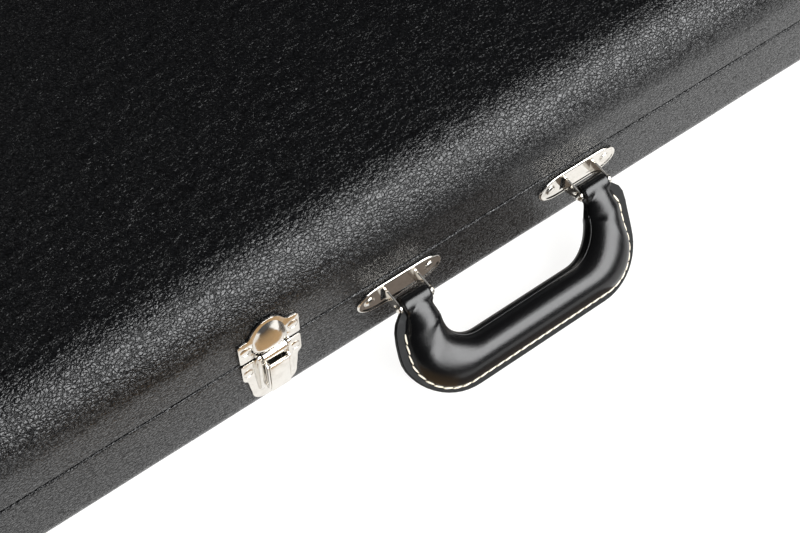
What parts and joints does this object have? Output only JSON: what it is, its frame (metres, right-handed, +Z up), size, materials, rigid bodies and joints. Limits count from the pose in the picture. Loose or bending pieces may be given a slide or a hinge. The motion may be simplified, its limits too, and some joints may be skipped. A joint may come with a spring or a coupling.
{
  "type": "guitar case",
  "caption": "Rectangular hard guitar case in black grained vinyl, with an arched-shoulder hinged lid, draw latches, a drooping leather handle on two brackets and a fitted inside.",
  "frame": {"origin": "centre of the flat underside of the base, on the surface that the case lies on", "axes": "+Z up through the lid; +X along the case towards the end that holds the guitar's body; -Y the front, with the handle"},
  "size_m": [1.0772, 0.434, 0.101],
  "materials": {
    "black_vinyl": "pebble-grained vinyl, satin",
    "black_leather": "smooth, semi-gloss",
    "nickel": "bright nickel plate",
    "steel": "plain",
    "dark_plush": "short plush pile",
    "woven_ribbon": "woven",
    "stained_plywood": "stained and sealed",
    "black_rubber": "moulded"
  },
  "bodies": {
    "base": {"base_shell": "black_vinyl", "seam_tongue": "stained_plywood", "floor_pad": "dark_plush", "mould_head_front": "dark_plush", "mould_head_rear": "dark_plush", "mould_neck_front": "dark_plush", "mould_neck_rear": "dark_plush", "mould_body_front": "dark_plush", "mould_body_rear": "dark_plush", "neck_cradle": "dark_plush", "accessory_box": "dark_plush", "accessory_pin": "nickel", "handle_plate_left": "nickel", "handle_bracket_left": "nickel", "handle_pin_left": "nickel", "handle_plate_right": "nickel", "handle_bracket_right": "nickel", "handle_pin_right": "nickel", "foot_base_left": "black_rubber", "foot_base_right": "black_rubber", "hinge_left_base_leaf": "nickel", "hinge_left_pin": "nickel", "hinge_middle_base_leaf": "nickel", "hinge_middle_pin": "nickel", "hinge_right_base_leaf": "nickel", "hinge_right_pin": "nickel", "latch_front_left_base_plate": "nickel", "latch_front_middle_base_plate": "nickel", "latch_front_right_base_plate": "nickel", "latch_end_left_base_plate": "nickel", "latch_end_right_base_plate": "nickel"},
    "lid": {"lid_shell": "black_vinyl", "lid_liner": "dark_plush", "foot_lid_left": "black_rubber", "foot_lid_right": "black_rubber", "hinge_left_lid_leaf": "nickel", "hinge_middle_lid_leaf": "nickel", "hinge_right_lid_leaf": "nickel", "latch_front_left_keeper": "nickel", "latch_front_middle_keeper": "nickel", "latch_front_right_keeper": "nickel", "latch_end_left_keeper": "nickel", "latch_end_right_keeper": "nickel"},
    "handle": {"handle_grip": "black_leather", "handle_core": "steel"},
    "accessory_panel": {"accessory_panel": "dark_plush", "accessory_tab": "woven_ribbon"},
    "lever_front_left": {"latch_front_left_lever": "nickel"},
    "claw_front_left": {"latch_front_left_claw": "nickel"},
    "lever_front_middle": {"latch_front_middle_lever": "nickel"},
    "claw_front_middle": {"latch_front_middle_claw": "nickel"},
    "lever_front_right": {"latch_front_right_lever": "nickel"},
    "claw_front_right": {"latch_front_right_claw": "nickel"},
    "lever_end_left": {"latch_end_left_lever": "nickel"},
    "claw_end_left": {"latch_end_left_claw": "nickel"},
    "lever_end_right": {"latch_end_right_lever": "nickel"},
    "claw_end_right": {"latch_end_right_claw": "nickel"}
  },
  "joints": [
    {"name": "lid_hinge", "type": "hinge", "parent": "base", "child": "lid", "pos_m": [0, 0.1886, 0.0503], "axis": [-1, 0, 0], "range_deg": [0, 100]},
    {"name": "handle_swing", "type": "hinge", "parent": "base", "child": "handle", "pos_m": [0.0392, -0.198, 0.03855], "axis": [1, 0, 0], "range_deg": [-125, 45]},
    {"name": "accessory_panel_hinge", "type": "hinge", "parent": "base", "child": "accessory_panel", "pos_m": [-0.17, 0.156, 0.0463], "axis": [-1, 0, 0], "range_deg": [0, 22]},
    {"name": "lever_front_left_pivot", "type": "hinge", "parent": "base", "child": "lever_front_left", "pos_m": [-0.37, -0.1892, 0.0476], "axis": [-1, 0, 0], "range_deg": [0, 95]},
    {"name": "claw_front_left_pivot", "type": "hinge", "parent": "lever_front_left", "child": "claw_front_left", "pos_m": [-0.37, -0.1899, 0.0295], "axis": [-1, 0, 0], "range_deg": [-120, 0]},
    {"name": "lever_front_middle_pivot", "type": "hinge", "parent": "base", "child": "lever_front_middle", "pos_m": [-0.0937, -0.1892, 0.0476], "axis": [-1, 0, 0], "range_deg": [0, 95]},
    {"name": "claw_front_middle_pivot", "type": "hinge", "parent": "lever_front_middle", "child": "claw_front_middle", "pos_m": [-0.0937, -0.1899, 0.0295], "axis": [-1, 0, 0], "range_deg": [-120, 0]},
    {"name": "lever_front_right_pivot", "type": "hinge", "parent": "base", "child": "lever_front_right", "pos_m": [0.37, -0.1892, 0.0476], "axis": [-1, 0, 0], "range_deg": [0, 95]},
    {"name": "claw_front_right_pivot", "type": "hinge", "parent": "lever_front_right", "child": "claw_front_right", "pos_m": [0.37, -0.1899, 0.0295], "axis": [-1, 0, 0], "range_deg": [-120, 0]},
    {"name": "lever_end_left_pivot", "type": "hinge", "parent": "base", "child": "lever_end_left", "pos_m": [-0.5342, 0, 0.0476], "axis": [0, 1, 0], "range_deg": [0, 95]},
    {"name": "claw_end_left_pivot", "type": "hinge", "parent": "lever_end_left", "child": "claw_end_left", "pos_m": [-0.5349, 0, 0.0295], "axis": [0, 1, 0], "range_deg": [-120, 0]},
    {"name": "lever_end_right_pivot", "type": "hinge", "parent": "base", "child": "lever_end_right", "pos_m": [0.5342, 0, 0.0476], "axis": [0, -1, 0], "range_deg": [0, 95]},
    {"name": "claw_end_right_pivot", "type": "hinge", "parent": "lever_end_right", "child": "claw_end_right", "pos_m": [0.5349, 0, 0.0295], "axis": [0, -1, 0], "range_deg": [-120, 0]}
  ],
  "couplings": [
    {"joint": "claw_front_left_pivot", "follows": "lever_front_left_pivot", "ratio": -1.25},
    {"joint": "claw_front_middle_pivot", "follows": "lever_front_middle_pivot", "ratio": -1.25},
    {"joint": "claw_front_right_pivot", "follows": "lever_front_right_pivot", "ratio": -1.25},
    {"joint": "claw_end_left_pivot", "follows": "lever_end_left_pivot", "ratio": -1.25},
    {"joint": "claw_end_right_pivot", "follows": "lever_end_right_pivot", "ratio": -1.25}
  ]
}
